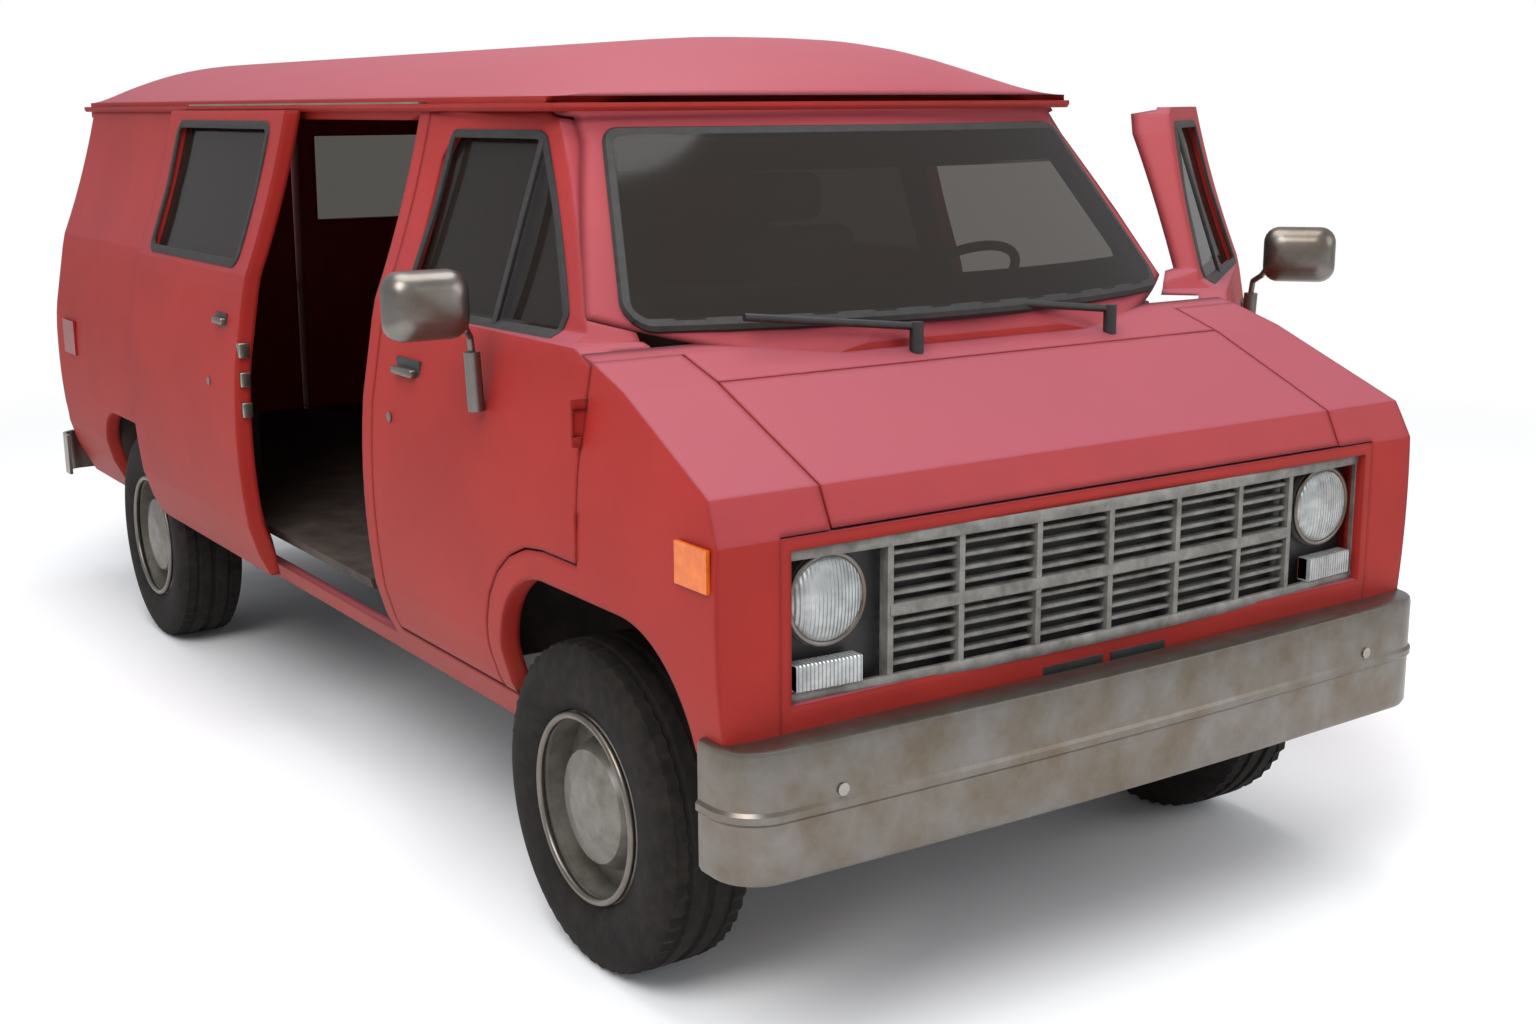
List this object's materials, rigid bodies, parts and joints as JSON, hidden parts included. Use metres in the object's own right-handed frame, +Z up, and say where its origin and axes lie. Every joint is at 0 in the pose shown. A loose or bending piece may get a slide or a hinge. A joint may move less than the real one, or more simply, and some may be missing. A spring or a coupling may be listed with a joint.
{
  "type": "panel van",
  "caption": "Full-size panel van with a short nose, a sliding side door slid open, front doors, rear doors and hood on hinges, steered front wheels and free-turning wheels.",
  "frame": {"origin": "on the load floor's top face, on the van's centre line, above the rear axle", "axes": "+X forward along the van, +Y to the van's left, +Z up, square to the load floor"},
  "size_m": [5.058, 3.1223, 2.052],
  "materials": {
    "body_paint": "weathered satin red paint",
    "window_glass": "tinted glass",
    "lamp_glass": "clear fluted lens",
    "amber_lens": "moulded amber lens",
    "red_lens": "moulded red lens",
    "grille_paint": "argent grey",
    "bright_steel": "dull chrome plate",
    "floor_paint": "dull red-brown floor paint",
    "chassis_black": "dirty black chassis paint",
    "cast_metal": "rough casting",
    "seat_vinyl": "black vinyl",
    "dash_plastic": "grained plastic",
    "wiper_black": "satin black",
    "wheel_steel": "argent wheel paint with a bright cap",
    "tyre_rubber": "dusty black rubber"
  },
  "bodies": {
    "root": {"roof_panel": "body_paint", "side_panel_right": "body_paint", "side_panel_left": "body_paint", "fender_right": "body_paint", "fender_left": "body_paint", "windscreen_frame": "body_paint", "nose_panel": "body_paint", "sliding_door": "body_paint", "side_window_left": "window_glass", "windscreen": "window_glass", "sliding_door_glass": "window_glass", "headlamps": "lamp_glass", "amber_lamps": "amber_lens", "red_lamps": "red_lens", "grille": "grille_paint", "front_bumper": "bright_steel", "rear_bumper": "bright_steel", "slider_track": "bright_steel", "load_floor": "floor_paint", "wheel_wells": "floor_paint", "cab_floor": "floor_paint", "frame_rails": "chassis_black", "cross_members": "chassis_black", "front_suspension": "chassis_black", "rear_axle": "chassis_black", "driveline": "chassis_black", "fuel_tank": "chassis_black", "exhaust": "chassis_black", "engine_block": "cast_metal", "seat_left": "seat_vinyl", "dashboard": "dash_plastic", "engine_cover": "dash_plastic", "steering_wheel": "dash_plastic", "wipers": "wiper_black"},
    "front_door_right": {"front_door_right": "body_paint", "front_door_right_glass": "window_glass", "front_door_right_mirror": "bright_steel"},
    "front_door_left": {"front_door_left": "body_paint", "front_door_left_glass": "window_glass", "front_door_left_mirror": "bright_steel"},
    "rear_door_right": {"rear_door_right": "body_paint", "rear_door_right_glass": "window_glass"},
    "rear_door_left": {"rear_door_left": "body_paint", "rear_door_left_glass": "window_glass"},
    "hood": {"hood": "body_paint"},
    "knuckle_right": {"knuckle_right": "chassis_black"},
    "knuckle_left": {"knuckle_left": "chassis_black"},
    "wheel_front_right": {"wheel_front_right_rim": "wheel_steel", "wheel_front_right_tyre": "tyre_rubber"},
    "wheel_front_left": {"wheel_front_left_rim": "wheel_steel", "wheel_front_left_tyre": "tyre_rubber"},
    "wheel_rear_right": {"wheel_rear_right_rim": "wheel_steel", "wheel_rear_right_tyre": "tyre_rubber"},
    "wheel_rear_left": {"wheel_rear_left_rim": "wheel_steel", "wheel_rear_left_tyre": "tyre_rubber"}
  },
  "joints": [
    {"name": "front_door_right_hinge", "type": "hinge", "parent": "root", "child": "front_door_right", "pos_m": [3.327, -1.009, 0.278], "axis": [0, 0, 1], "range_deg": [0, 67]},
    {"name": "front_door_left_hinge", "type": "hinge", "parent": "root", "child": "front_door_left", "pos_m": [3.327, 1.009, 0.278], "axis": [0, 0, -1], "range_deg": [-50, 17]},
    {"name": "rear_door_right_hinge", "type": "hinge", "parent": "root", "child": "rear_door_right", "pos_m": [-1.07, -0.7215, 0.278], "axis": [0, 0, 1], "range_deg": [0, 105]},
    {"name": "rear_door_left_hinge", "type": "hinge", "parent": "root", "child": "rear_door_left", "pos_m": [-1.07, 0.7215, 0.278], "axis": [0, 0, -1], "range_deg": [0, 105]},
    {"name": "hood_hinge", "type": "hinge", "parent": "root", "child": "hood", "pos_m": [3.467, 0, 0.703], "axis": [0, -1, 0], "range_deg": [0, 50]},
    {"name": "steering_right", "type": "hinge", "parent": "root", "child": "knuckle_right", "pos_m": [3.25, -0.733, -0.248], "axis": [0, 0, 1], "range_deg": [-33, 33]},
    {"name": "steering_left", "type": "hinge", "parent": "root", "child": "knuckle_left", "pos_m": [3.25, 0.733, -0.248], "axis": [0, 0, 1], "range_deg": [-33, 33]},
    {"name": "wheel_front_right_spin", "type": "hinge", "parent": "knuckle_right", "child": "wheel_front_right", "pos_m": [3.25, -0.863, -0.248], "axis": [0, 1, 0], "continuous": true},
    {"name": "wheel_front_left_spin", "type": "hinge", "parent": "knuckle_left", "child": "wheel_front_left", "pos_m": [3.25, 0.863, -0.248], "axis": [0, 1, 0], "continuous": true},
    {"name": "wheel_rear_right_spin", "type": "hinge", "parent": "root", "child": "wheel_rear_right", "pos_m": [0, -0.863, -0.248], "axis": [0, 1, 0], "continuous": true},
    {"name": "wheel_rear_left_spin", "type": "hinge", "parent": "root", "child": "wheel_rear_left", "pos_m": [0, 0.863, -0.248], "axis": [0, 1, 0], "continuous": true}
  ],
  "couplings": [
    {"joint": "steering_left", "follows": "steering_right", "ratio": 1}
  ]
}
